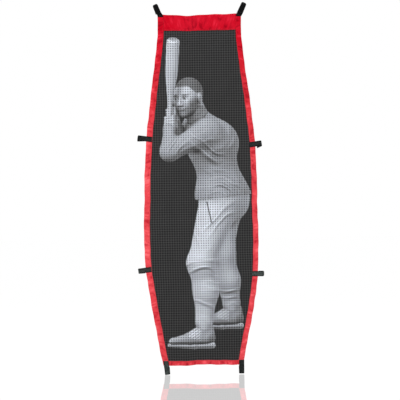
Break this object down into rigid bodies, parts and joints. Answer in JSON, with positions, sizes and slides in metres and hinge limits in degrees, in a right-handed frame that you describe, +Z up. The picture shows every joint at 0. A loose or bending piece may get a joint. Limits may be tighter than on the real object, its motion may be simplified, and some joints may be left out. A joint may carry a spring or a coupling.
{
  "type": "pitching target net",
  "caption": "Hanging pitching target: a tall printed mesh panel with a red header and bindings, tied to a frame by black hook-and-loop webbing straps.",
  "frame": {"origin": "the middle of the panel's top edge, halfway through its thickness", "axes": "+Z up, +X to the right as seen from the front, the printed front faces -Y"},
  "size_m": [0.7228, 0.0062, 2.131],
  "materials": {
    "printed_mesh": "printed coated polyester mesh, matt",
    "backing": "plain black backing cloth, matt",
    "red_cloth": "red polyester taffeta, slight sheen",
    "webbing": "black woven polypropylene webbing",
    "hook_tape": "black nylon hook tape",
    "loop_tape": "black brushed nylon loop tape"
  },
  "bodies": {
    "panel": {"target_mesh": "printed_mesh", "backing_cloth": "backing", "header_band": "red_cloth", "left_side_binding": "red_cloth", "right_side_binding": "red_cloth", "bottom_binding": "red_cloth", "top_left_strap_base": "webbing", "top_right_strap_base": "webbing", "upper_left_strap_base": "webbing", "upper_right_strap_base": "webbing", "lower_left_strap_base": "webbing", "lower_right_strap_base": "webbing", "bottom_left_strap_base": "webbing", "bottom_right_strap_base": "webbing"},
    "top_left_strap": {"top_left_strap_leg": "webbing", "top_left_strap_fold": "webbing", "top_left_hook_patch": "hook_tape"},
    "top_left_flap": {"top_left_strap_flap": "webbing", "top_left_loop_patch": "loop_tape"},
    "top_right_strap": {"top_right_strap_leg": "webbing", "top_right_strap_fold": "webbing", "top_right_hook_patch": "hook_tape"},
    "top_right_flap": {"top_right_strap_flap": "webbing", "top_right_loop_patch": "loop_tape"},
    "upper_left_strap": {"upper_left_strap_leg": "webbing", "upper_left_strap_fold": "webbing", "upper_left_hook_patch": "hook_tape"},
    "upper_left_flap": {"upper_left_strap_flap": "webbing", "upper_left_loop_patch": "loop_tape"},
    "upper_right_strap": {"upper_right_strap_leg": "webbing", "upper_right_strap_fold": "webbing", "upper_right_hook_patch": "hook_tape"},
    "upper_right_flap": {"upper_right_strap_flap": "webbing", "upper_right_loop_patch": "loop_tape"},
    "lower_left_strap": {"lower_left_strap_leg": "webbing", "lower_left_strap_fold": "webbing", "lower_left_hook_patch": "hook_tape"},
    "lower_left_flap": {"lower_left_strap_flap": "webbing", "lower_left_loop_patch": "loop_tape"},
    "lower_right_strap": {"lower_right_strap_leg": "webbing", "lower_right_strap_fold": "webbing", "lower_right_hook_patch": "hook_tape"},
    "lower_right_flap": {"lower_right_strap_flap": "webbing", "lower_right_loop_patch": "loop_tape"},
    "bottom_left_strap": {"bottom_left_strap_leg": "webbing", "bottom_left_strap_fold": "webbing", "bottom_left_hook_patch": "hook_tape"},
    "bottom_left_flap": {"bottom_left_strap_flap": "webbing", "bottom_left_loop_patch": "loop_tape"},
    "bottom_right_strap": {"bottom_right_strap_leg": "webbing", "bottom_right_strap_fold": "webbing", "bottom_right_hook_patch": "hook_tape"},
    "bottom_right_flap": {"bottom_right_strap_flap": "webbing", "bottom_right_loop_patch": "loop_tape"}
  },
  "joints": [
    {"name": "top_left_swing", "type": "hinge", "parent": "panel", "child": "top_left_strap", "pos_m": [-0.227, -0.0023, 0.002], "axis": [-1, 0, 0], "range_deg": [-90, 90]},
    {"name": "top_left_closure", "type": "hinge", "parent": "top_left_strap", "child": "top_left_flap", "pos_m": [-0.25148, 0, 0.05794], "axis": [0.9212, 0, 0.3891], "range_deg": [0, 180], "deforming": ["top_left_strap_fold"]},
    {"name": "top_right_swing", "type": "hinge", "parent": "panel", "child": "top_right_strap", "pos_m": [0.23, -0.0023, 0.002], "axis": [-1, 0, 0], "range_deg": [-90, 90]},
    {"name": "top_right_closure", "type": "hinge", "parent": "top_right_strap", "child": "top_right_flap", "pos_m": [0.25999, 0, 0.06203], "axis": [0.9003, 0, -0.4352], "range_deg": [0, 180], "deforming": ["top_right_strap_fold"]},
    {"name": "upper_left_swing", "type": "hinge", "parent": "panel", "child": "upper_left_strap", "pos_m": [-0.30963, -0.0023, -0.70883], "axis": [-0.0827, 0, -0.9966], "range_deg": [-90, 90]},
    {"name": "upper_left_closure", "type": "hinge", "parent": "upper_left_strap", "child": "upper_left_flap", "pos_m": [-0.35813, 0, -0.70262], "axis": [0.1253, 0, 0.9921], "range_deg": [0, 180], "deforming": ["upper_left_strap_fold"]},
    {"name": "upper_right_swing", "type": "hinge", "parent": "panel", "child": "upper_right_strap", "pos_m": [0.31251, -0.0023, -0.74586], "axis": [-0.0725, 0, 0.9974], "range_deg": [-90, 90]},
    {"name": "upper_right_closure", "type": "hinge", "parent": "upper_right_strap", "child": "upper_right_flap", "pos_m": [0.34706, 0, -0.74086], "axis": [0.1392, 0, -0.9903], "range_deg": [0, 180], "deforming": ["upper_right_strap_fold"]},
    {"name": "lower_left_swing", "type": "hinge", "parent": "panel", "child": "lower_left_strap", "pos_m": [-0.32125, -0.0023, -1.46116], "axis": [0.0818, 0, -0.9967], "range_deg": [-90, 90]},
    {"name": "lower_left_closure", "type": "hinge", "parent": "lower_left_strap", "child": "lower_left_flap", "pos_m": [-0.36332, 0, -1.46641], "axis": [-0.1219, 0, 0.9925], "range_deg": [0, 180], "deforming": ["lower_left_strap_fold"]},
    {"name": "lower_right_swing", "type": "hinge", "parent": "panel", "child": "lower_right_strap", "pos_m": [0.31875, -0.0023, -1.48919], "axis": [0.0958, 0, 0.9954], "range_deg": [-90, 90]},
    {"name": "lower_right_closure", "type": "hinge", "parent": "lower_right_strap", "child": "lower_right_flap", "pos_m": [0.35166, 0, -1.48949], "axis": [-0.014, 0, -0.9999], "range_deg": [0, 180], "deforming": ["lower_right_strap_fold"]},
    {"name": "bottom_left_swing", "type": "hinge", "parent": "panel", "child": "bottom_left_strap", "pos_m": [-0.2115, -0.0023, -2.01], "axis": [1, 0, 0], "range_deg": [-90, 90]},
    {"name": "bottom_left_closure", "type": "hinge", "parent": "bottom_left_strap", "child": "bottom_left_flap", "pos_m": [-0.20591, 0, -2.05859], "axis": [-0.994, 0, -0.1097], "range_deg": [0, 180], "deforming": ["bottom_left_strap_fold"]},
    {"name": "bottom_right_swing", "type": "hinge", "parent": "panel", "child": "bottom_right_strap", "pos_m": [0.219, -0.0023, -2.01], "axis": [1, 0, 0], "range_deg": [-90, 90]},
    {"name": "bottom_right_closure", "type": "hinge", "parent": "bottom_right_strap", "child": "bottom_right_flap", "pos_m": [0.2184, 0, -2.0569], "axis": [-0.9999, 0, 0.0122], "range_deg": [0, 180], "deforming": ["bottom_right_strap_fold"]}
  ]
}
